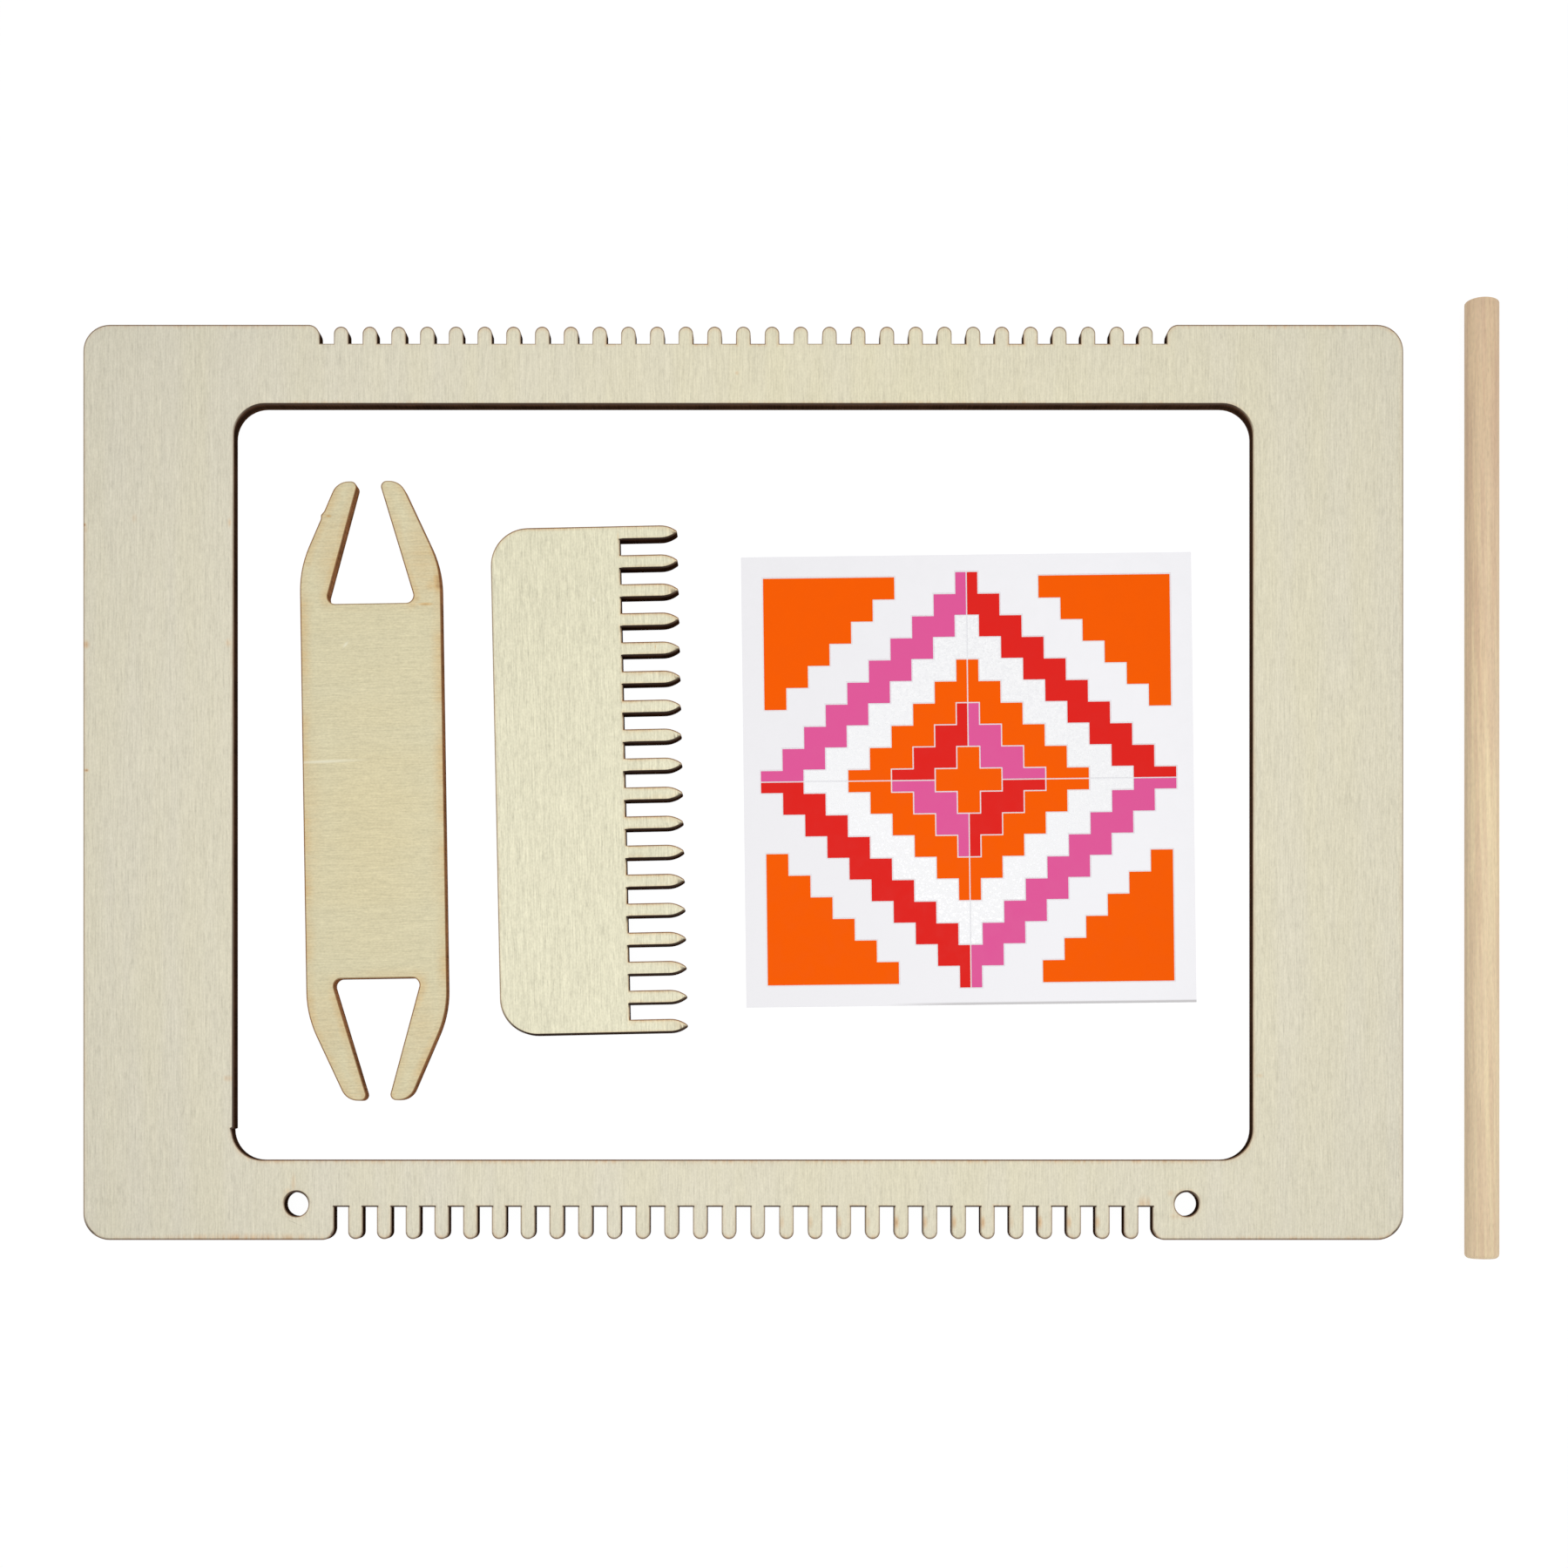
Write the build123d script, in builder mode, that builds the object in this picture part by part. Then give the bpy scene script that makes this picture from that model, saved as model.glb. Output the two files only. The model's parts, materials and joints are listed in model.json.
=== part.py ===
"""Frame loom kit lying flat on a table: toothed frame, shuttle, comb, hanging rod and sticker card.

The frame, the shuttle and the comb are cut from one sheet of plywood. +X runs along the frame's toothed
rails, +Y from the rail with long teeth to the rail with short ones, +Z up from the table. Millimetres.
"""

import os

from build123d import *

# Plywood sheet that the frame, the shuttle and the comb are cut from
sheet_thickness = 3.2

# Loom frame: a plate with a window between two toothed rails
frame_width = 300
frame_height = 208
frame_corner_radius = 6
stile_width = 34.2
rail_height = 18.2
window_corner_radius = 7

# Warp teeth, the same pitch on both rails and set half a pitch apart
warp_pitch = 6.53
warp_tooth_width = 3.3
short_teeth = 29
short_tooth_length = 3.9
short_slot_depth = 4.3
short_shoulder_radius = 2.5
long_teeth = 28
long_tooth_length = 7.3
long_slot_depth = 7.5
long_shoulder_radius = 2.7

# Two holes for the warp's ends and for hanging, beside the long teeth
hole_diameter = 5.5
hole_spacing = 202.4
hole_pair_middle = -0.4
hole_edge_distance = 8.1

# Shuttle: a flat bar with a pair of horns round a notch at each end
shuttle_length = 140.8
shuttle_width = 32
horn_shoulder_from_middle = 50.8
horn_shoulder_radius = 25
horn_outer_half_width = 7.2
horn_outer_radius = 4
horn_inner_radius = 1.3
notch_depth = 27.8
notch_mouth_width = 4.7
notch_floor_width = 20.6
notch_floor_radius = 1.7

# Comb: a beater with pointed teeth along one side
comb_width = 42.7
comb_corner_radius = 8.5
comb_teeth = 18
comb_pitch = 6.6
comb_tooth_width = 3.15
comb_tooth_length = 13.3
comb_point_length = 4.1
comb_point_radius = 0.45

# Hanging rod: a dowel with its ends eased
rod_diameter = 7.5
rod_length = 217
rod_end_chamfer = 1

# Sticker card: a paper liner that carries kiss-cut stickers, laid out as rings of a stepped diamond
card_size = 103
liner_thickness = 0.3
sticker_thickness = 0.15
cut_gap = 0.3
pattern_cell = 5
ring_cells = 2
ring_reach = {"outer": 9, "glitter": 7, "middle": 5, "inner": 3}
heart_reach = 1
corner_cells = 6
corner_margin = 5
quarter_turn = {"north_east": 0, "north_west": 90, "south_west": 180, "south_east": 270}

# Where each piece lies: the middle of its outline and its turn about +Z in degrees
rod_gap = 13.9
kit_width = frame_width + rod_gap + rod_diameter
frame_place = ((frame_width - kit_width) / 2, -0.35, 0)
rod_x = (kit_width - rod_diameter) / 2
shuttle_place = (-94.75, -2.25, 0.9)
comb_place = (-45.7, 0.05, 1.2)
card_place = (40.8, 0.75, 0.7)

os.makedirs("parts", exist_ok=True)


def table_plane(place, height=0):
    """Plane of a piece that lies at this place, at this height above the table."""
    x, y, turn = place
    return Plane(Location((x, y, height), (0, 0, turn)))


def save(piece, name):
    """Name a finished piece and write it as a file of its own."""
    piece.part.label = name
    export_step(piece.part, f"parts/{name}.step")


# Loom frame


def toothed_edge(side, teeth, tooth_length, slot_depth):
    """Sink one edge of the plate between its shoulders and leave a row of round-tipped teeth."""
    edge = side * frame_height / 2
    shoulder_to_shoulder = (teeth + 1) * warp_pitch - warp_tooth_width
    with Locations((0, edge - side * slot_depth / 2)):
        Rectangle(shoulder_to_shoulder, slot_depth, mode=Mode.SUBTRACT)
    with Locations((0, edge - side * slot_depth)):
        with GridLocations(warp_pitch, warp_pitch, teeth, 1):
            SlotOverall(2 * tooth_length, warp_tooth_width, rotation=90)


with BuildPart() as loom_frame:
    with BuildSketch(table_plane(frame_place)) as frame_outline:
        RectangleRounded(frame_width, frame_height, frame_corner_radius)
        toothed_edge(1, short_teeth, short_tooth_length, short_slot_depth)
        toothed_edge(-1, long_teeth, long_tooth_length, long_slot_depth)
        within_stiles = frame_width / 2 - stile_width
        for edge, radius in ((-1, short_shoulder_radius), (0, long_shoulder_radius)):
            between_stiles = frame_outline.vertices().filter_by(lambda v: abs(v.X) < within_stiles)
            fillet(between_stiles.group_by(Axis.Y)[edge], radius)
        window_height = frame_height - 2 * rail_height
        RectangleRounded(2 * within_stiles, window_height, window_corner_radius, mode=Mode.SUBTRACT)
        with Locations((hole_pair_middle, hole_edge_distance - frame_height / 2)):
            with GridLocations(hole_spacing, hole_spacing, 2, 1):
                Circle(hole_diameter / 2, mode=Mode.SUBTRACT)
    extrude(amount=sheet_thickness)
save(loom_frame, "loom_frame")


# Shuttle: a quarter of its outline, from the straight side to the notch's floor, mirrored both ways

shuttle_end = shuttle_length / 2
notch_floor = shuttle_end - notch_depth

with BuildPart() as shuttle:
    with BuildSketch(table_plane(shuttle_place)):
        with BuildLine():
            FilletPolyline(
                (shuttle_width / 2, 0),
                (shuttle_width / 2, horn_shoulder_from_middle),
                (horn_outer_half_width, shuttle_end),
                (notch_mouth_width / 2, shuttle_end),
                (notch_floor_width / 2, notch_floor),
                (0, notch_floor),
                radius=[horn_shoulder_radius, horn_outer_radius, horn_inner_radius, notch_floor_radius],
            )
            mirror(about=Plane.YZ)
            mirror(about=Plane.XZ)
        make_face()
    extrude(amount=sheet_thickness)
save(shuttle, "shuttle")


# Comb: one pointed tooth with a root to sink into the back, then the back and its row of teeth

tooth_side = comb_tooth_width / 2
tooth_root = -tooth_side
comb_back_width = comb_width - comb_tooth_length
comb_height = (comb_teeth - 1) * comb_pitch + comb_tooth_width

with BuildSketch() as comb_tooth:
    with BuildLine():
        flank = Line((tooth_root, tooth_side), (comb_tooth_length - comb_point_length, tooth_side))
        TangentArc(flank @ 1, (comb_tooth_length, 0), tangent=flank % 1)
        mirror(about=Plane.XZ)
        Line((tooth_root, -tooth_side), (tooth_root, tooth_side))
    make_face()
    fillet(comb_tooth.vertices().sort_by(Axis.X)[-1], comb_point_radius)

with BuildPart() as comb:
    with BuildSketch(table_plane(comb_place)) as comb_outline:
        with Locations((-comb_width / 2, 0)):
            Rectangle(comb_back_width, comb_height, align=(Align.MIN, Align.CENTER))
        fillet(comb_outline.vertices().group_by(Axis.X)[0], comb_corner_radius)
        with Locations((comb_back_width - comb_width / 2, 0)):
            with GridLocations(comb_pitch, comb_pitch, 1, comb_teeth):
                add(comb_tooth.sketch)
    extrude(amount=sheet_thickness)
save(comb, "comb")


# Hanging rod, lying beside the frame

with BuildPart() as hanging_rod:
    with BuildSketch(Plane.XZ):
        with Locations((rod_x, rod_diameter / 2)):
            Circle(rod_diameter / 2)
    extrude(amount=rod_length / 2, both=True)
    chamfer(hanging_rod.edges().filter_by(GeomType.CIRCLE), rod_end_chamfer)
save(hanging_rod, "hanging_rod")


# Sticker card: the liner, the film round the stickers, then each sticker


def stepped_diamond(reach, growth=0, mode=Mode.ADD):
    """Rows of cells that shorten by one cell at each end with every row from the middle."""
    for row in range(-reach, reach + 1):
        cells = 2 * (reach - abs(row)) + 1
        with Locations((0, row * pattern_cell)):
            Rectangle(cells * pattern_cell + 2 * growth, pattern_cell + 2 * growth, mode=mode)


def stepped_corner(turn, growth=0, mode=Mode.ADD):
    """Triangle of stepped rows that fills one corner of the card."""
    corner = card_size / 2 - corner_margin
    with Locations(Location((0, 0, 0), (0, 0, turn))):
        for row in range(corner_cells):
            length = (corner_cells - row) * pattern_cell
            with Locations((corner - length / 2, corner - (row + 0.5) * pattern_cell)):
                Rectangle(length + 2 * growth, pattern_cell + 2 * growth, mode=mode)


def keep_quarter(turn):
    """Keep what lies in one quarter of the card, clear of the cuts along its middle lines."""
    with Locations(Location((0, 0, 0), (0, 0, turn))):
        with Locations((cut_gap / 2, cut_gap / 2)):
            Rectangle(card_size, card_size, align=(Align.MIN, Align.MIN), mode=Mode.INTERSECT)


film_plane = table_plane(card_place, liner_thickness)

with BuildPart() as card_liner:
    with BuildSketch(table_plane(card_place)):
        Rectangle(card_size, card_size)
    extrude(amount=liner_thickness)
save(card_liner, "card_liner")

with BuildPart() as card_surround:
    with BuildSketch(film_plane):
        Rectangle(card_size, card_size)
        stepped_diamond(max(ring_reach.values()), cut_gap, Mode.SUBTRACT)
        for turn in quarter_turn.values():
            stepped_corner(turn, cut_gap, Mode.SUBTRACT)
    extrude(amount=sticker_thickness)
save(card_surround, "card_surround")

for ring, reach in ring_reach.items():
    for quarter, turn in quarter_turn.items():
        with BuildPart() as sticker:
            with BuildSketch(film_plane):
                stepped_diamond(reach)
                stepped_diamond(reach - ring_cells, cut_gap, Mode.SUBTRACT)
                keep_quarter(turn)
            extrude(amount=sticker_thickness)
        save(sticker, f"sticker_{ring}_{quarter}")

for quarter, turn in quarter_turn.items():
    with BuildPart() as sticker:
        with BuildSketch(film_plane):
            stepped_corner(turn)
        extrude(amount=sticker_thickness)
    save(sticker, f"sticker_corner_{quarter}")

with BuildPart() as sticker_heart:
    with BuildSketch(film_plane):
        stepped_diamond(heart_reach)
    extrude(amount=sticker_thickness)
save(sticker_heart, "sticker_heart")
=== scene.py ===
import json
import math

import bpy
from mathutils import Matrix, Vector
from mathutils.bvhtree import BVHTree


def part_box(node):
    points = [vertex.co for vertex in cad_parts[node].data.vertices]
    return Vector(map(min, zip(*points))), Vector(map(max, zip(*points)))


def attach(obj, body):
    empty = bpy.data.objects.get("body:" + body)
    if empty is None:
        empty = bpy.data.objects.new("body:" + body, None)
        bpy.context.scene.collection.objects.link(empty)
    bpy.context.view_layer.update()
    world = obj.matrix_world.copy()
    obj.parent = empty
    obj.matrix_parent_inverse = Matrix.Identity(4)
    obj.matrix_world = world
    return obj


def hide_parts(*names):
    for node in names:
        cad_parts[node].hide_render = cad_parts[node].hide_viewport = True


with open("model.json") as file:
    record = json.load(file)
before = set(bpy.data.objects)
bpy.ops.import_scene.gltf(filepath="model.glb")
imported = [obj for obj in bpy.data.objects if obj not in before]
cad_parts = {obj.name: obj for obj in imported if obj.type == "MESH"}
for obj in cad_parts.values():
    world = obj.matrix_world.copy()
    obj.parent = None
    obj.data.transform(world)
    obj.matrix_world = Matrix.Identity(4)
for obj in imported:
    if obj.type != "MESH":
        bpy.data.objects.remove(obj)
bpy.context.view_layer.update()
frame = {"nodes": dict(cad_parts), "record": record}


# Loom frame: one flat plate of three-ply plywood, with a window between two toothed rails.
# A laser cuts it from the sheet. That chars the cut walls, draws a burnt line along every edge and
# toasts the pale veneer beside the cut, most of all where the cut crosses the grain.

mm = 0.001
frame_low, frame_high = [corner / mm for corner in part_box("loom_frame")]
frame_middle = (frame_low + frame_high) / 2
sheet_thickness = frame_high.z
face_ply_share = 0.28


class Shade:
    """One output of a shader node. Arithmetic on shades adds Math nodes to their material."""

    # A Mix node's sockets for colours, which share their names with those for numbers and vectors
    mix_share = 0
    mix_first = 6
    mix_second = 7
    mix_result = 2

    def __init__(self, socket):
        self.socket = socket

    def node(self, kind, settings, sockets, output=0):
        """Add a node with these settings, fill or link its sockets, and return one of its outputs."""
        made = self.socket.id_data.nodes.new("ShaderNode" + kind)
        for name, value in settings.items():
            if name == "stops":
                set_stops(made.color_ramp, value)
            else:
                setattr(made, name, value)
        fill_sockets(made, sockets)
        return Shade(made.outputs[output])

    def maths(self, operation, first, second=0.0):
        """Add a Math node for one or two values."""
        return self.node("Math", {"operation": operation}, {0: first, 1: second})

    def __add__(self, other):
        return self.maths("ADD", self, other)

    def __radd__(self, other):
        return self.maths("ADD", other, self)

    def __sub__(self, other):
        return self.maths("SUBTRACT", self, other)

    def __rsub__(self, other):
        return self.maths("SUBTRACT", other, self)

    def __mul__(self, other):
        return self.maths("MULTIPLY", self, other)

    def __rmul__(self, other):
        return self.maths("MULTIPLY", other, self)

    def larger(self, other):
        """The larger of two values."""
        return self.maths("MAXIMUM", self, other)

    def rise(self, low, high):
        """0 up to low and 1 from high on, with a smooth rise between. It falls where low is the larger."""
        return self.node("MapRange", {"interpolation_type": "SMOOTHSTEP"},
                         {"Value": self, "From Min": low, "From Max": high})

    def mix(self, blend_type, first, second):
        """Mix two colours, with this shade as the second one's share."""
        sockets = {self.mix_share: self, self.mix_first: first, self.mix_second: second}
        return self.node("Mix", {"data_type": "RGBA", "blend_type": blend_type}, sockets, self.mix_result)

    def blend(self, first, second):
        """The first colour where this shade is 0, and the second where it is 1."""
        return self.mix("MIX", first, second)

    def dye(self, colour, dye):
        """The colour as it is where this shade is 0, and multiplied by the dye where it is 1."""
        return self.mix("MULTIPLY", colour, dye)

    def tint(self, tone):
        """This colour made lighter or darker."""
        return self.node("VectorMath", {"operation": "SCALE"}, {0: self, "Scale": tone})

    def axis(self, letter):
        """One coordinate of a place."""
        return self.node("SeparateXYZ", {}, {"Vector": self}, letter)

    def turned(self, degrees, middle=(0, 0)):
        """A place as seen by something that is turned about +Z round a middle."""
        return self.node("VectorRotate", {"rotation_type": "Z_AXIS"},
                         {"Vector": self, "Center": (*middle, 0), "Angle": -math.radians(degrees)})

    def stretch(self, per_mm, offset=(0, 0, 0)):
        """A place scaled along each axis, for a pattern that repeats so many times a millimetre."""
        return self.node("VectorMath", {"operation": "MULTIPLY_ADD"}, {0: self, 1: per_mm, 2: offset})

    def noise(self, per_mm, detail=2, offset=(0, 0, 0)):
        """Smooth random waves over a place, around 0.5."""
        place = self.stretch(per_mm, offset)
        return place.node("TexNoise", {}, {"Vector": place, "Scale": 1, "Detail": detail})

    def spot(self, middle, reach):
        """1 in the middle of an oval spot, and 0 from its rim on."""
        x, y = middle
        across, along = reach
        place = self.stretch((1 / across, 1 / along, 0), (-x / across, -y / along, 0))
        return place.node("VectorMath", {"operation": "LENGTH"}, {0: place}, "Value").rise(1, 0)


def fill_sockets(node, sockets):
    """Link or set each of a node's inputs."""
    for name, value in sockets.items():
        socket = node.inputs[name]
        if isinstance(value, Shade):
            node.id_data.links.new(value.socket, socket)
        elif socket.type == "RGBA":
            socket.default_value = (*value, 1)
        else:
            socket.default_value = value


def set_stops(ramp, stops):
    """Give a colour ramp its stops, each a position and a colour."""
    while len(ramp.elements) < len(stops):
        ramp.elements.new(1)
    for element, (position, colour) in zip(ramp.elements, stops):
        element.position = position
        element.color = (*colour, 1)


def new_finish(name):
    """Start a material. Gives it back with its shader and the place on the piece in millimetres."""
    finish = bpy.data.materials.new(name)
    finish.use_nodes = True
    shader = finish.node_tree.nodes["Principled BSDF"]
    coordinates = finish.node_tree.nodes.new("ShaderNodeTexCoord")
    metres = Shade(coordinates.outputs["Object"])
    place = metres.stretch((1 / mm, 1 / mm, 1 / mm))
    return finish, shader, place


def veneer_finish(name, colours, warm_spot, grain, burn, marks, smoke=None, scratches=()):
    """Raw sanded veneer with fine short grain, burnt along its cuts and toasted beside them.

    Each mark is a toasted spot: its middle, its reach each way and its strength, past 1 where it is burnt.
    Each scratch is a pale spot: its middle, its reach each way and its lean in degrees.
    """
    finish, shader, place = new_finish(name)
    along_grain = place.turned(grain["turn"])
    bands = along_grain.noise(per_mm=(0.13, 0.012, 1), detail=2).rise(0.3, 0.7)
    warmth = 0.4 * bands + 0.8 * place.spot(*warm_spot)
    fibres = along_grain.noise(per_mm=(3.3, 0.5, 1), detail=0)
    threads = along_grain.noise(per_mm=(3.3, 0.1, 1), detail=1, offset=(40, 9, 0))
    specks = along_grain.noise(per_mm=(3.0, 1.8, 1), detail=0, offset=(21, 33, 0))
    pores = along_grain.noise(per_mm=(3.0, 0.35, 1), detail=0, offset=(17, 5, 0)).rise(0.58, 0.75)
    tone = grain["fibres"] * (fibres - 0.5) + grain["threads"] * (threads - 0.5)
    tone = tone + grain["specks"] * (specks - 0.5) - grain["pores"] * pores
    colour = warmth.blend(colours["cool"], colours["warm"]).tint(1 + tone)

    from_cut, across_grain, faces_near = [
        place.node("Attribute", {"attribute_name": note}, {}, "Fac") for note in cut_notes
    ]
    streaks = along_grain.noise(per_mm=(1.1, 0.06, 1), detail=2, offset=(7, 3, 0)).rise(0.35, 0.7)
    streaks = 1 - burn["streaks"] + burn["streaks"] * streaks
    patches = place.noise(per_mm=(0.1, 0.1, 1), detail=1, offset=(5, 8, 0)).rise(0.35, 0.65)
    toast = from_cut.rise(burn["toast_reach"], 0) * (0.35 + 0.65 * across_grain)
    toast = toast * streaks * (0.4 + 0.6 * patches) * burn["toast"]
    for middle, reach, strength in marks:
        toast = toast.larger(place.spot(middle, reach) * streaks * strength)
    if smoke:
        toast = toast.larger(smoke(place, streaks))
    colour = toast.dye(colour, colours["toast"])
    colour = (toast - 1).dye(colour, colours["burnt"])
    for middle, reach, lean in scratches:
        scratch = place.turned(lean, middle).spot(middle, reach) * scratch_strength
        colour = scratch.blend(colour, colours["scratch"])
    burnt_line = from_cut.rise(burnt_line_width, 0.4 * burnt_line_width) * (0.7 + 0.3 * across_grain)
    colour = burnt_line.dye(colour, colours["burnt"])
    near_line = from_cut.rise(burn["near_width"], 0.75 * burn["near_width"]) * faces_near * burn["near"]
    colour = near_line.blend(colour, colours["char"])

    bump = fibres.node("Bump", {}, {"Height": fibres - pores, "Strength": 0.2, "Distance": 0.03 * mm})
    fill_sockets(shader, {"Base Color": colour, "Roughness": 0.6 + 0.2 * fibres, "Normal": bump,
                          "Specular IOR Level": 0.15})
    return finish


def charred_finish(name, lip, veneer, core):
    """Laser-cut wall of three-ply plywood: charred, with the burn's upright lines and the plies in bands."""
    finish, shader, place = new_finish(name)
    height = place.axis("Z") * (1 / sheet_thickness)
    glue = tuple(0.4 * tone for tone in core)
    core_low = face_ply_share
    core_high = 1 - face_ply_share
    glue_line = 0.03
    below_lip = 0.94
    lip_edge = 0.995
    plies = height.node("ValToRGB", {"stops": [
        (0, veneer),
        (core_low - glue_line, veneer),
        (core_low, glue),
        (core_low + glue_line, core),
        (core_high - glue_line, core),
        (core_high, glue),
        (core_high + glue_line, veneer),
        (below_lip, veneer),
        (lip_edge, lip),
    ]}, {"Fac": height})
    burn_lines = place.noise(per_mm=(3, 3, 0.12), detail=2).rise(0.35, 0.7)
    scorch = place.noise(per_mm=(0.12, 0.12, 0.3), detail=2, offset=(3, 1, 4)).rise(0.35, 0.7)
    char = plies.tint(1 - 0.25 * burn_lines - 0.35 * scorch)
    bump = burn_lines.node("Bump", {}, {"Height": burn_lines, "Strength": 0.3, "Distance": 0.06 * mm})
    fill_sockets(shader, {"Base Color": char, "Roughness": 0.7 + 0.25 * scorch, "Normal": bump,
                          "Specular IOR Level": 0})
    return finish


def edit_faces(piece, wanted):
    """Open one piece for editing, with only the faces selected that pass the test."""
    bpy.ops.object.select_all(action="DESELECT")
    bpy.context.view_layer.objects.active = piece
    piece.select_set(True)
    bpy.ops.object.mode_set(mode="EDIT")
    bpy.context.tool_settings.mesh_select_mode = (False, False, True)
    bpy.ops.mesh.select_all(action="DESELECT")
    bpy.ops.object.mode_set(mode="OBJECT")
    for face in piece.data.polygons:
        face.select = wanted(face)
    bpy.ops.object.mode_set(mode="EDIT")


def edit_points(piece, wanted):
    """Open one piece for editing, with only the points selected that pass the test."""
    edit_faces(piece, lambda face: False)
    bpy.context.tool_settings.mesh_select_mode = (True, False, False)
    bpy.ops.object.mode_set(mode="OBJECT")
    for vertex in piece.data.vertices:
        vertex.select = wanted(vertex.co / mm)
    bpy.ops.object.mode_set(mode="EDIT")


def is_sheet_face(face):
    """Whether a face is on the sheet's own front or back, and not on a cut wall."""
    return abs(face.normal.z) > 0.5


def cut_from_sheet(node):
    """Copy a plywood solid as one closed mesh."""
    piece = bpy.data.objects.new(f"{node}_plywood", frame["nodes"][node].data.copy())
    bpy.context.collection.objects.link(piece)
    edit_faces(piece, lambda face: True)
    bpy.ops.mesh.remove_doubles(threshold=same_place * mm)
    bpy.ops.object.mode_set(mode="OBJECT")
    return piece


def ring_cuts(piece, ring_width):
    """Ring the faces beside every cut: a narrow ring for the burnt line and a wider one for the toast."""
    edit_faces(piece, is_sheet_face)
    bpy.ops.mesh.inset(thickness=burnt_line_width * mm)
    bpy.ops.mesh.inset(thickness=(ring_width - burnt_line_width) * mm)
    bpy.ops.object.mode_set(mode="OBJECT")


def grid_faces(piece, spacing):
    """Cut the sheet's faces into a grid, so that what is noted at points follows the whole face."""
    low = [min(vertex.co[axis] for vertex in piece.data.vertices) / mm for axis in (0, 1)]
    high = [max(vertex.co[axis] for vertex in piece.data.vertices) / mm for axis in (0, 1)]
    for axis, normal in ((0, (1, 0, 0)), (1, (0, 1, 0))):
        for line in range(1, math.ceil((high[axis] - low[axis]) / spacing)):
            edit_faces(piece, is_sheet_face)
            bpy.ops.mesh.bisect(plane_co=Vector(normal) * (low[axis] + line * spacing) * mm, plane_no=normal)
            bpy.ops.object.mode_set(mode="OBJECT")


def note_cuts(piece, grain, near_edge_share=1):
    """Note at each point its distance from the nearest cut and the way that cut faces.

    In a corner, where two cuts are as near, the one that faces the near side counts. The share says how much
    of the near side's char there is on the piece's own near edge.
    """
    bpy.ops.object.shade_smooth_by_angle(angle=math.radians(rounding_angle))
    mesh = piece.data
    points = [vertex.co for vertex in mesh.vertices]
    walls = BVHTree.FromPolygons(points, [f.vertices for f in mesh.polygons if not is_sheet_face(f)])
    from_cut, across_grain, faces_near = [
        mesh.attributes.new(note, "FLOAT", "POINT").data for note in cut_notes
    ]
    near_edge = min(point.y for point in points) + near_edge_width * mm
    for vertex in mesh.vertices:
        wall_place, wall_normal, _, distance = walls.find_nearest(vertex.co)
        share = near_edge_share if wall_place.y < near_edge else 1
        from_cut[vertex.index].value = distance / mm
        across_grain[vertex.index].value = abs(wall_normal.dot(grain))
        nearest = walls.find_nearest_range(vertex.co, distance + corner_reach * mm)
        faces_near[vertex.index].value = share * max(0, *[-normal.y for _, normal, _, _ in nearest])


def dress_plywood(piece, veneer, charred):
    """Veneer on the faces and char on the cut walls."""
    piece.data.materials.clear()
    piece.data.materials.append(veneer)
    piece.data.materials.append(charred)
    for face in piece.data.polygons:
        face.material_index = 0 if is_sheet_face(face) else 1


cut_notes = ("from_cut", "across_grain", "faces_near")
same_place = 0.001
rounding_angle = 30
burnt_line_width = 0.34
scratch_strength = 0.7
near_edge_width = 1.2
corner_reach = 0.01
frame_grain = Vector((0, 1, 0))
frame_toast_reach = 1.3
frame_near_edge_share = 0.3
warp_pitch = 6.53
long_slot_depth = 7.5
long_slot_floor = frame_low.y + long_slot_depth
left_hole, right_hole = [
    Vector(mount["pos_m"]).xy / mm for mount in frame["record"]["mounts"] if mount["kind"] == "bore"
]
frame_marks = [
    ((left_hole.x - 0.6, left_hole.y + 4.6), (0.8, 3.4), 1.1),
    ((left_hole.x - 1.9, left_hole.y + 2.8), (1.6, 1.4), 0.7),
    ((right_hole.x - 2.6, right_hole.y - 2.7), (1.7, 1.2), 0.9),
    ((right_hole.x - 3.6, right_hole.y + 2.5), (1.4, 1.1), 0.6),
    ((frame_low.x + 0.2, 58.2), (0.6, 0.7), 2),
    ((frame_low.x + 0.5, 57.2), (0.8, 1.6), 0.6),
    ((frame_low.x + 0.5, 31.0), (1.3, 1.5), 2.2),
    ((frame_low.x + 0.4, 2.4), (1.2, 0.6), 2.2),
    ((frame_low.x + 11.6, 59.7), (0.8, 1.6), 0.6),
    ((frame_low.x + 33.2, 58.7), (0.9, 1.5), 0.8),
    ((frame_low.x + 33.0, 31.3), (1.2, 1.5), 0.9),
    ((-127.6, -67.6), (1.8, 1.1), 1.1),
    ((106.3, -67.0), (1.6, 0.8), 0.8),
    ((-124.0, frame_low.y), (30, 2.0), 1.3),
    ((-12.1, 92.7), (0.7, 0.7), 0.6),
    ((80.5, long_slot_floor + 0.6), (2.0, 2.8), 1.3),
]


def tooth_spots(place, streaks):
    """Smoke of the laser on the long teeth: a spot beside one side of each, strongest right of the middle."""
    along_rail = place.axis("X") - frame_middle.x
    pitches = along_rail * (1 / warp_pitch)
    in_pitch = pitches.maths("FRACT", pitches) * warp_pitch
    on_tooth = place.node("CombineXYZ", {}, {"X": in_pitch, "Y": place.axis("Y")})
    spot = on_tooth.spot(middle=(2.15, long_slot_floor - 3.5), reach=(0.9, 2.3))
    luck = place.noise(per_mm=(0.19, 0, 0), detail=0, offset=(3, 6, 0)).rise(0.3, 0.6)
    return spot * along_rail.rise(-20, 40) * along_rail.rise(92, 75) * (0.5 + luck) * (0.6 + 0.4 * streaks)


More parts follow.
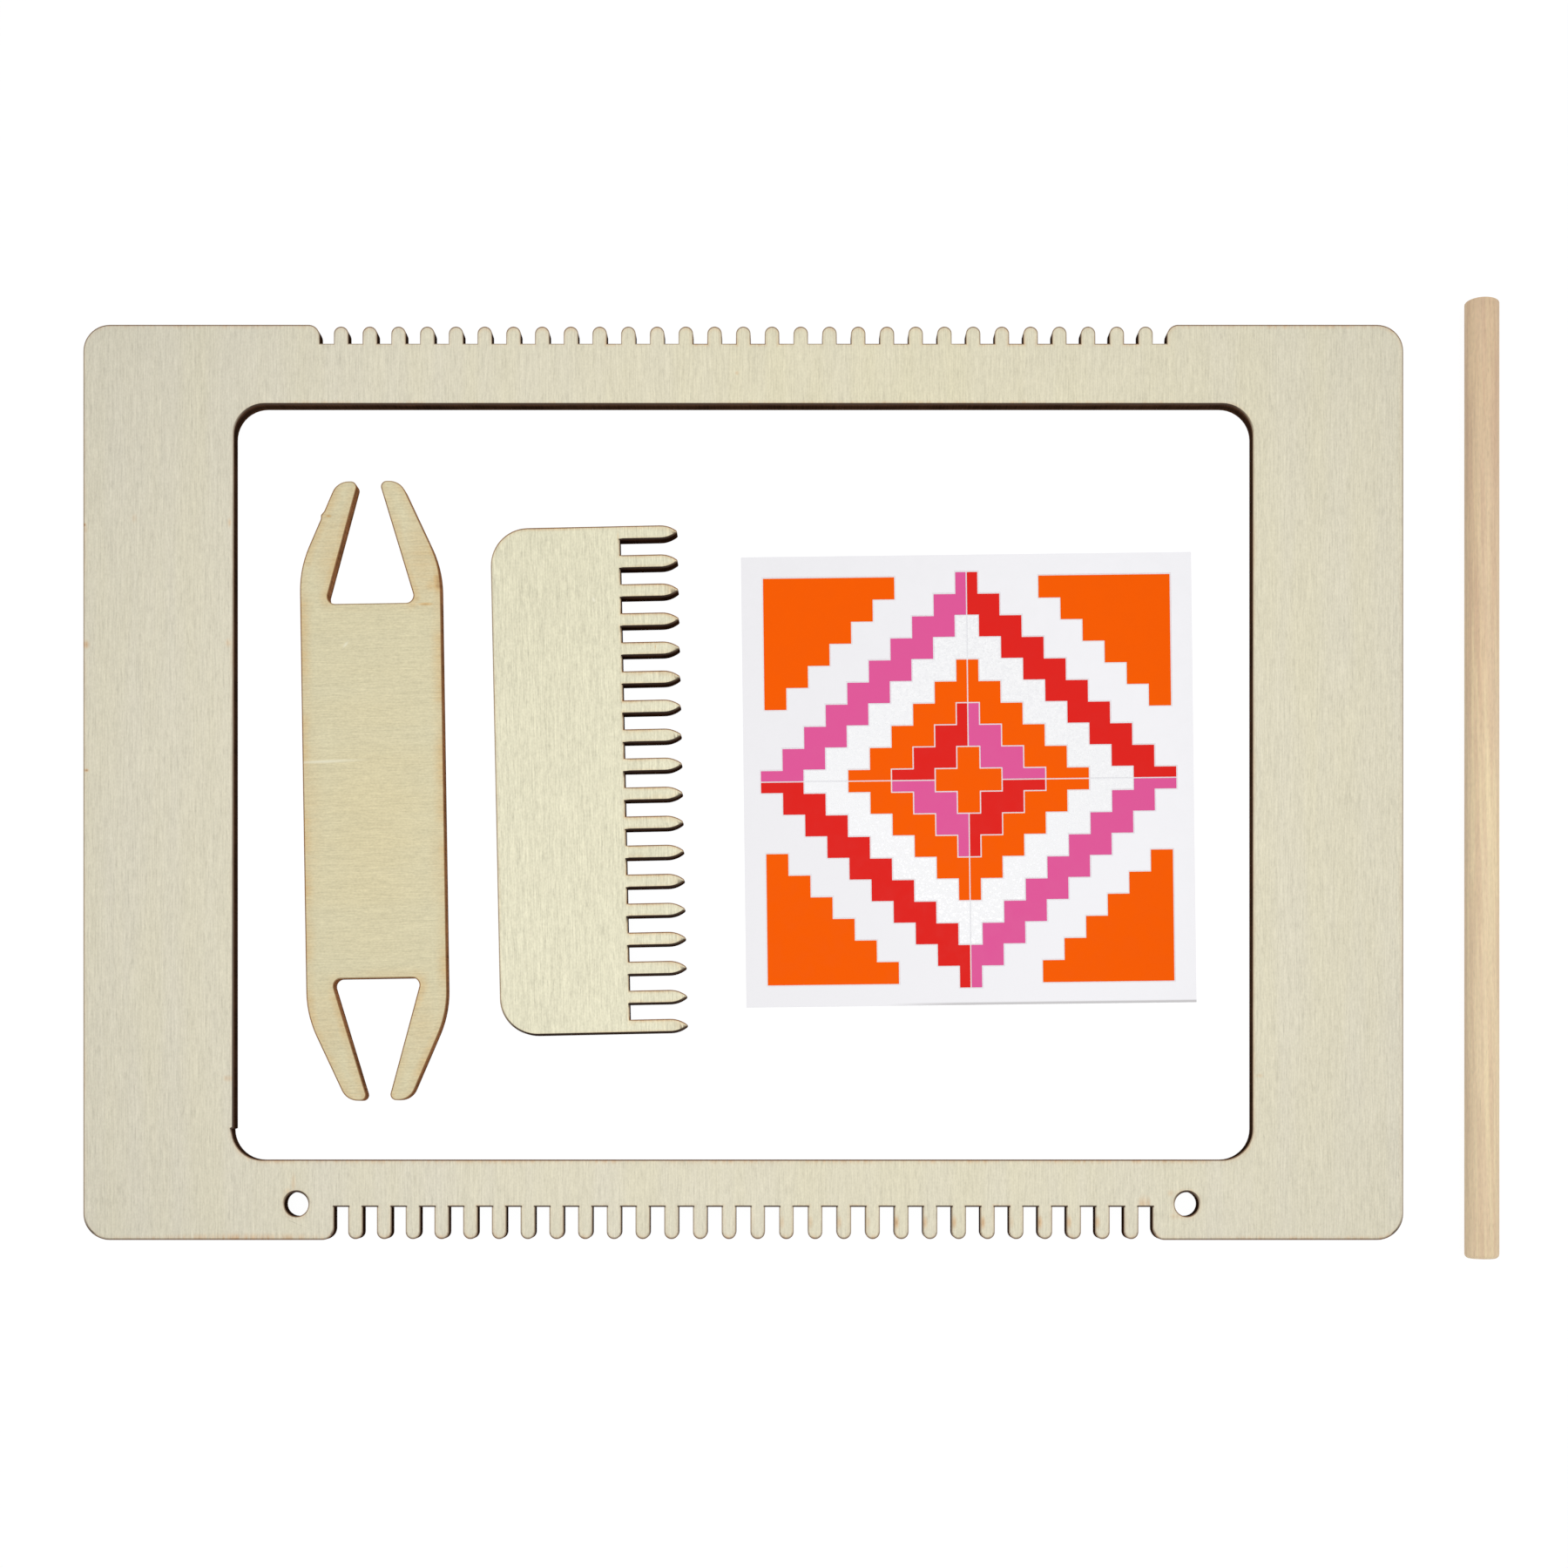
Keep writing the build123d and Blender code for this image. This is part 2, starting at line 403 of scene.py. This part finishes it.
frame_veneer = veneer_finish(
    "frame_veneer",
    colours={"cool": (0.735, 0.692, 0.558), "warm": (0.745, 0.695, 0.505), "toast": (0.93, 0.71, 0.56),
             "burnt": (0.31, 0.205, 0.155), "char": (0.05, 0.028, 0.018)},
    warm_spot=((25, 30), (150, 200)),
    grain={"turn": 0, "fibres": 0.17, "threads": 0.28, "specks": 0.14, "pores": 0.07},
    burn={"toast": 1.0, "toast_reach": frame_toast_reach, "streaks": 0.7, "near": 1, "near_width": 0.52},
    marks=frame_marks,
    smoke=tooth_spots,
)
frame_char = charred_finish(
    "frame_char", lip=(0.13, 0.065, 0.035), veneer=(0.085, 0.039, 0.021), core=(0.042, 0.02, 0.011),
)

# The laser's path doesn't quite close at the window's lower left corner, so the wall has a small step there.
step_depth = 0.55
step_height = 0.2
stile_width = 34.2
rail_height = 18.2
window_corner_radius = 7
window_left = frame_low.x + stile_width
corner_right = window_left + window_corner_radius
corner_top = frame_low.y + rail_height + window_corner_radius
inside_rail = frame_low.y + 10
close_by = 0.1
loom_frame = cut_from_sheet("loom_frame")
edit_faces(loom_frame, lambda face: face.normal.x > 0.9 and abs(face.center.x / mm - window_left) < close_by)
bpy.ops.mesh.bisect(plane_co=(0, (corner_top + step_height) * mm, 0), plane_no=(0, 1, 0))
bpy.ops.object.mode_set(mode="OBJECT")
edit_points(loom_frame, lambda at: window_left - close_by < at.x < corner_right + close_by
            and inside_rail < at.y < corner_top + close_by)
bpy.ops.transform.translate(value=(-step_depth * mm, 0, 0))
bpy.ops.object.mode_set(mode="OBJECT")
ring_cuts(loom_frame, frame_toast_reach)

# A cut line just below the slot floors keeps what is noted at their corners off the sides of the teeth.
below_slot_floor = 0.2
edit_faces(loom_frame, is_sheet_face)
bpy.ops.mesh.bisect(plane_co=(0, (long_slot_floor - below_slot_floor) * mm, 0), plane_no=(0, 1, 0))
bpy.ops.object.mode_set(mode="OBJECT")
note_cuts(loom_frame, frame_grain, frame_near_edge_share)
dress_plywood(loom_frame, frame_veneer, frame_char)
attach(loom_frame, "frame")
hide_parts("loom_frame")


# Shuttle: a flat bar of the same plywood with a horned notch at each end, which the weft is wound on.
# Its veneer is creamier and its grain lies across it, so its long sides are end grain and toast most.

shuttle_turn = 0.9
shuttle_grain = Vector((1, 0, 0))
shuttle_ring_width = 1.15
shuttle_grid = 2
shuttle_marks = [
    ((-79.9, 45.2), (2.4, 4.4), 1.7),
    ((-81.6, 44.6), (3.0, 3.0), 0.8),
    ((-82.9, 40.2), (3.0, 0.6), 1.3),
    ((-105.0, 60.2), (1.2, 0.7), 1.3),
    ((-103.5, 51.0), (7.5, 17.0), 0.5),
    ((-83.5, 51.0), (7.5, 17.0), 0.55),
    ((-105.5, -56.0), (7.0, 15.0), 0.3),
    ((-84.0, -56.0), (7.0, 15.0), 0.35),
    ((-111.0, -8.0), (6.0, 40.0), 0.38),
    ((-78.3, -18.0), (5.0, 18.0), 0.42),
]
shuttle_scratches = [
    ((-106.0, 4.4), (12, 0.55), 2.4),
    ((-101.1, 31.0), (1.3, 0.45), 52),
]
shuttle_veneer = veneer_finish(
    "shuttle_veneer",
    colours={"cool": (0.683, 0.628, 0.425), "warm": (0.698, 0.622, 0.395), "toast": (0.96, 0.76, 0.57),
             "burnt": (0.42, 0.26, 0.17), "char": (0.16, 0.07, 0.035), "scratch": (0.84, 0.81, 0.64)},
    warm_spot=((-95, -10), (20, 40)),
    grain={"turn": 90 + shuttle_turn, "fibres": 0.2, "threads": 0.22, "specks": 0.2, "pores": 0.03},
    burn={"toast": 0.9, "toast_reach": 3.1, "streaks": 0.3, "near": 0.3, "near_width": 0.3},
    marks=shuttle_marks,
    scratches=shuttle_scratches,
)
shuttle_char = charred_finish(
    "shuttle_char", lip=(0.3, 0.13, 0.055), veneer=(0.3, 0.13, 0.055), core=(0.36, 0.155, 0.065),
)

# The laser leaves a small burr on the outer side of the far left horn, where its path starts and ends.
burr_y = 60.4
burr_half_width = 0.9
burr_height = 0.35
horn_middle = -103
shuttle = cut_from_sheet("shuttle")
for cut_y in (burr_y - burr_half_width, burr_y, burr_y + burr_half_width):
    edit_faces(shuttle, lambda face: face.normal.x < -0.5 and face.center.x / mm < horn_middle)
    bpy.ops.mesh.bisect(plane_co=(0, cut_y * mm, 0), plane_no=(0, 1, 0))
    bpy.ops.object.mode_set(mode="OBJECT")
edit_points(shuttle, lambda at: at.x < horn_middle and abs(at.y - burr_y) < close_by)
bpy.ops.transform.translate(value=(-burr_height * mm, 0, 0))
bpy.ops.object.mode_set(mode="OBJECT")
ring_cuts(shuttle, shuttle_ring_width)
grid_faces(shuttle, shuttle_grid)
note_cuts(shuttle, shuttle_grain)
dress_plywood(shuttle, shuttle_veneer, shuttle_char)
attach(shuttle, "shuttle")
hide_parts("shuttle")


# Comb: the beater that presses the weft down, of the same plywood, with pointed teeth cut across the grain.
# It is the palest of the three and its grain shows most.

comb_turn = 1.2
comb_grain = Vector((0, 1, 0))
comb_ring_width = 0.4
comb_grid = 1.5
comb_marks = [
    ((-39.2, 55.3), (0.35, 2.2), 0.6),
    ((-30.7, 30.5), (0.3, 0.9), 1.3),
]
comb_scratches = [
    ((-44.7, 41.2), (0.4, 0.8), 20),
]
comb_veneer = veneer_finish(
    "comb_veneer",
    colours={"cool": (0.745, 0.71, 0.525), "warm": (0.79, 0.755, 0.565), "toast": (0.94, 0.76, 0.62),
             "burnt": (0.36, 0.22, 0.15), "char": (0.02, 0.009, 0.005), "scratch": (0.92, 0.89, 0.74)},
    warm_spot=((-45, -60), (90, 120)),
    grain={"turn": comb_turn, "fibres": 0.26, "threads": 0.4, "specks": 0.2, "pores": 0.08},
    burn={"toast": 1.3, "toast_reach": 1, "streaks": 0.3, "near": 1, "near_width": 0.48},
    marks=comb_marks,
    scratches=comb_scratches,
)
comb_char = charred_finish(
    "comb_char", lip=(0.06, 0.027, 0.015), veneer=(0.042, 0.016, 0.008), core=(0.03, 0.012, 0.006),
)
comb = cut_from_sheet("comb")
ring_cuts(comb, comb_ring_width)
grid_faces(comb, comb_grid)
note_cuts(comb, comb_grain)
dress_plywood(comb, comb_veneer, comb_char)
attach(comb, "comb")
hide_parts("comb")


# Hanging rod: a turned dowel of close-grained tan wood that carries the finished weaving.
# Its ends are sawn and eased by hand, the far one a little out of square, and it lies loose beside the frame.

rod_low, rod_high = [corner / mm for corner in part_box("hanging_rod")]
rod_middle = (rod_low + rod_high) / 2
rod_radius = (rod_high.z - rod_low.z) / 2
rod_length = rod_high.y - rod_low.y
far_end_ease = 0.3
near_end_ease = 1.1
far_end_slant = 0.05
rod_sides = 96
ease_segments = 5
end_rounding_angle = 35
grain_lean = 1.6


def rod_finish():
    """Tan wood with long soft stripes, fine flecks along the grain and a darker far end."""
    finish, shader, place = new_finish("rod_wood")
    along_grain = place.turned(grain_lean)
    stripes = along_grain.noise(per_mm=(0.9, 0.02, 0.9), detail=2).rise(0.35, 0.65)
    bands = along_grain.noise(per_mm=(0.22, 0.02, 0.22), detail=1, offset=(3, 0, 6)).rise(0.3, 0.7)
    fibres = place.noise(per_mm=(2.6, 0.12, 2.6), detail=2)
    specks = place.noise(per_mm=(2.4, 0.9, 2.4), detail=0, offset=(2, 7, 4))
    flecks = place.noise(per_mm=(3.4, 0.4, 3.4), detail=1, offset=(9, 2, 5)).rise(0.6, 0.78)
    far = place.axis("Y").rise(-20, 110)
    colour = stripes.blend((0.765, 0.57, 0.375), (0.885, 0.72, 0.455))
    colour = (bands * 0.5).blend(colour, (0.80, 0.64, 0.44))
    colour = far.dye(colour, (0.9, 0.835, 0.84))
    colour = colour.tint(1 + 0.3 * (fibres - 0.5) + 0.15 * (specks - 0.5) - 0.1 * flecks)
    bump = fibres.node("Bump", {}, {"Height": fibres - flecks, "Strength": 0.25, "Distance": 0.03 * mm})
    fill_sockets(shader, {"Base Color": colour, "Roughness": 0.5 + 0.2 * fibres, "Normal": bump,
                          "Specular IOR Level": 0.25})
    return finish


bpy.ops.object.select_all(action="DESELECT")
bpy.ops.mesh.primitive_cylinder_add(vertices=rod_sides, radius=rod_radius * mm, depth=rod_length * mm,
                                    location=rod_middle * mm, rotation=(math.radians(90), 0, 0))
hanging_rod = bpy.context.object
hanging_rod.name = "hanging_rod_turned"
bpy.ops.object.transform_apply(location=True, rotation=True, scale=True)
edit_faces(hanging_rod, lambda face: True)
bpy.ops.mesh.bisect(plane_co=(rod_low.x * mm, rod_high.y * mm, 0), plane_no=(far_end_slant, 1, 0),
                    use_fill=True, clear_outer=True, threshold=same_place * mm)
bpy.ops.object.mode_set(mode="OBJECT")
for way, ease in ((1, far_end_ease), (-1, near_end_ease)):
    edit_faces(hanging_rod, lambda face: face.normal.y * way > 0.9)
    bpy.ops.mesh.bevel(offset=ease * mm, segments=ease_segments, profile=0.5)
    bpy.ops.object.mode_set(mode="OBJECT")
bpy.ops.object.shade_smooth_by_angle(angle=math.radians(end_rounding_angle))
hanging_rod.data.materials.append(rod_finish())
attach(hanging_rod, "rod")
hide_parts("hanging_rod")


# Sticker card: a coated paper liner that carries a sheet of white film and the kiss-cut stickers in it.
# The stickers are satin film in orange, red and pink, with one ring of white glitter film.

card_turn = 0.7
card_size = 103
card_half = card_size / 2
card_low, card_high = [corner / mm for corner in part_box("card_liner")]
card_middle = (card_low + card_high) / 2


def film_finish(name, colour, gloss, marks=None):
    """Satin film with a faint orange-peel surface and a slight unevenness of its print."""
    finish, shader, place = new_finish(name)
    mottle = place.noise(per_mm=(0.3, 0.3, 1), detail=3).rise(0.3, 0.7)
    peel = place.noise(per_mm=(1.6, 1.6, 1), detail=2, offset=(4, 4, 0))
    darker = tuple(0.985 * tone for tone in colour)
    shown = mottle.blend(darker, colour)
    # The marks grey the film. On the white film they hold a painted shadow and painted shade as well as a
    # scratch.
    if marks:
        shown = marks(place).dye(shown, (0.64, 0.63, 0.62))
    bump = peel.node("Bump", {}, {"Height": peel, "Strength": 0.1, "Distance": 0.03 * mm})
    fill_sockets(shader, {"Base Color": shown, "Roughness": 0.4 + 0.1 * mottle, "Normal": bump,
                          "Specular IOR Level": gloss})
    return finish


def surround_marks_and_shade(place):
    """Where the white film darkens: painted shadow on its near edge, painted shade at left, a scratch, a
    corner spot.
    """
    on_card = place.turned(card_turn, card_middle.xy)
    across = on_card.axis("X") - card_middle.x
    along = on_card.axis("Y") - card_middle.y
    # Painted shadow: a grey line along the right half of the card's near edge.
    near_edge = along.rise(0.75 - card_half, 0.35 - card_half) * across.rise(-25, 0)
    scratch = place.spot(middle=(84.3, -42.6), reach=(0.3, 3.4)) * 0.1
    corner = place.spot(middle=(92.1, -50.8), reach=(0.6, 0.6))
    # Painted shade: the film greys towards the left, away from the lamp.
    left = across.rise(50, -50) * 0.15
    return near_edge.larger(scratch).larger(corner).larger(left)


def glitter_finish(name):
    """White film with fine glitter: small flakes, each with its own tilt and tone."""
    finish, shader, place = new_finish(name)
    flakes = place.stretch((2.6, 2.6, 2.6))
    tones = flakes.node("TexVoronoi", {"feature": "F1"}, {"Vector": flakes, "Scale": 1}, "Color")
    tone = tones.node("SeparateColor", {}, {"Color": tones}, "Red")
    colour = tone.blend((0.80, 0.80, 0.82), (0.93, 0.93, 0.94))
    bump = tone.node("Bump", {}, {"Height": tone, "Strength": 0.4, "Distance": 0.1 * mm})
    fill_sockets(shader, {"Base Color": colour, "Roughness": 0.25 + 0.4 * tone, "Normal": bump,
                          "Specular IOR Level": 0.3})
    return finish


film_finishes = {
    "liner_paper": film_finish("liner_paper", (0.82, 0.82, 0.84), gloss=0.05),
    "white_film": film_finish("white_film", (0.895, 0.888, 0.915), gloss=0.1, marks=surround_marks_and_shade),
    "orange_sticker": film_finish("orange_sticker", (0.92, 0.108, 0.001), gloss=0.01),
    "red_sticker": film_finish("red_sticker", (0.73, 0.016, 0.012), gloss=0.03),
    "pink_sticker": film_finish("pink_sticker", (0.73, 0.092, 0.308), gloss=0.06),
    "glitter_sticker": glitter_finish("glitter_sticker"),
}
for subpart in frame["record"]["subparts"]:
    if subpart["material_slot"] in film_finishes:
        film = frame["nodes"][subpart["node"]]
        film.data.materials.clear()
        film.data.materials.append(film_finishes[subpart["material_slot"]])


# Table, light and camera: a white table under a pale sky of soft light, with one far soft spotlight from the
# right, whose pool of light fades towards the loom's corners. The camera looks straight down.

white = (1, 1, 1)
ambient_light = 0.64
table_size = 8000
table_drop = 0.02
table_colour = (0.92, 0.92, 0.92)
table_glow = 1.05
seen_white_share = 0.9


def seen_directly(tree):
    """1 for what the camera sees, also in a reflection or through glass, and 0 for light on other things."""
    light_path = tree.nodes.new("ShaderNodeLightPath")
    camera, glossy, through = [
        Shade(light_path.outputs[name]) for name in ("Is Camera Ray", "Is Glossy Ray", "Is Transmission Ray")
    ]
    return camera.larger(glossy).larger(through)


world = bpy.data.worlds.new("soft_studio")
world.use_nodes = True
bpy.context.scene.world = world
seen = seen_directly(world.node_tree)
sky = seen.node("Background", {}, {"Color": white, "Strength": ambient_light})
backdrop = seen.node("Background", {}, {"Color": white, "Strength": 1})
shown = seen.node("MixShader", {}, {0: seen, 1: sky, 2: backdrop})
fill_sockets(world.node_tree.nodes["World Output"], {"Surface": shown})

bpy.ops.object.select_all(action="DESELECT")
bpy.ops.mesh.primitive_plane_add(size=table_size * mm, location=(0, 0, -table_drop * mm))
table = bpy.context.object
table.name = "table"
table_white = bpy.data.materials.new("table_white")
table_white.use_nodes = True
seen = seen_directly(table_white.node_tree)
matt = seen.node("BsdfDiffuse", {}, {"Color": table_colour})
glow = seen.node("Emission", {}, {"Color": white, "Strength": table_glow})
shown = seen.node("MixShader", {}, {0: seen * seen_white_share, 1: matt, 2: glow})
fill_sockets(table_white.node_tree.nodes["Material Output"], {"Surface": shown})
table.data.materials.append(table_white)

lamp_place = Vector((200, 100, 2650)) * mm
pool_middle = Vector((5, -10, 0)) * mm
pool_radius = 300 * mm
lamp_softness = 80 * mm
lamp_watts = 107
beam = pool_middle - lamp_place
bpy.ops.object.light_add(type="SPOT", location=lamp_place)
lamp = bpy.context.object
lamp.name = "key_spot"
lamp.data.energy = lamp_watts
lamp.data.shadow_soft_size = lamp_softness
lamp.data.spot_size = 2 * math.atan(pool_radius / beam.length)
lamp.data.spot_blend = 1
lamp.rotation_euler = beam.to_track_quat("-Z", "Y").to_euler()

view_width = 356.4 * mm
view_middle = Vector((-1.45, -0.71)) * mm
camera_height = 430 * mm
camera_shift = Vector((0, 0.209))
sensor_width = 36
bpy.ops.object.camera_add(rotation=(0, 0, 0))
camera = bpy.context.object
camera.data.sensor_width = sensor_width
camera.data.lens = sensor_width * camera_height / view_width
camera.data.shift_x = camera_shift.x
camera.data.shift_y = camera_shift.y
camera.location = (*(view_middle - camera_shift * view_width), sheet_thickness * mm + camera_height)
bpy.context.scene.camera = camera
bpy.context.scene.view_settings.view_transform = "Standard"
